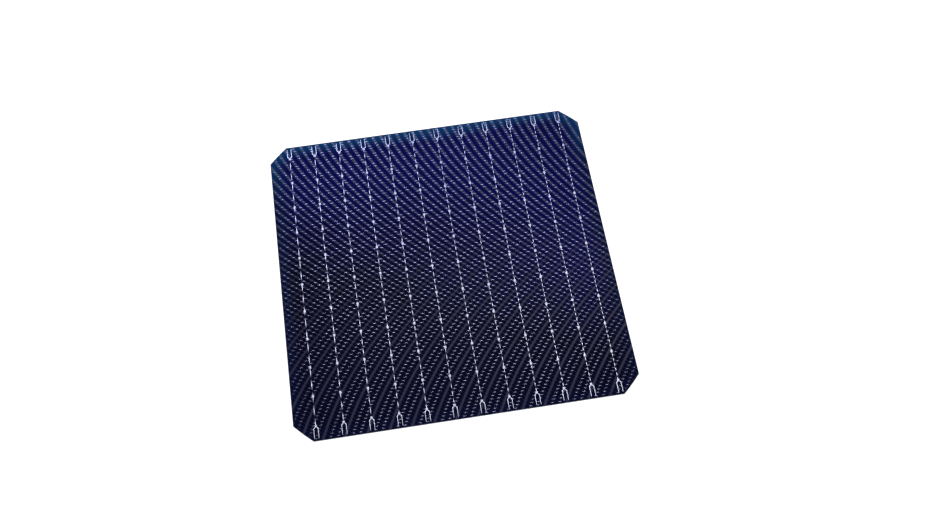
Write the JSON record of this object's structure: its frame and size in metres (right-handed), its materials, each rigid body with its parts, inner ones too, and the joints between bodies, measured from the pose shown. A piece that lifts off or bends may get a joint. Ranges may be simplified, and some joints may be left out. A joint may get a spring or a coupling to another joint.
{
  "type": "bifacial solar cell",
  "caption": "Thin square monocrystalline bifacial solar cell with cut corners, a dark blue front, a light blue rear, and printed fingers, busbars and solder pads on both faces.",
  "frame": {"origin": "middle of the rear face that the cell rests on, at the level of the rear busbars' lower side", "axes": "+Z out of the dark blue front face, +Y along the busbars, +X along the fingers"},
  "size_m": [0.1568, 0.1568, 0.0003],
  "materials": {
    "silicon": "etched grey crystal, satin",
    "front_film": "dark blue antireflection film, satin",
    "rear_film": "light blue film, satin",
    "front_silver": "fired silver print, matte",
    "rear_silver": "fired silver print, matte"
  },
  "bodies": {
    "root": {"silicon_wafer": "silicon", "front_coating": "front_film", "rear_coating": "rear_film", "front_fingers": "front_silver", "rear_fingers": "rear_silver", "front_busbar_01": "front_silver", "front_busbar_02": "front_silver", "front_busbar_03": "front_silver", "front_busbar_04": "front_silver", "front_busbar_05": "front_silver", "front_busbar_06": "front_silver", "front_busbar_07": "front_silver", "front_busbar_08": "front_silver", "front_busbar_09": "front_silver", "front_busbar_10": "front_silver", "front_busbar_11": "front_silver", "front_busbar_12": "front_silver", "rear_busbar_01": "rear_silver", "rear_busbar_02": "rear_silver", "rear_busbar_03": "rear_silver", "rear_busbar_04": "rear_silver", "rear_busbar_05": "rear_silver", "rear_busbar_06": "rear_silver", "rear_busbar_07": "rear_silver", "rear_busbar_08": "rear_silver", "rear_busbar_09": "rear_silver", "rear_busbar_10": "rear_silver", "rear_busbar_11": "rear_silver", "rear_busbar_12": "rear_silver"}
  },
  "joints": []
}
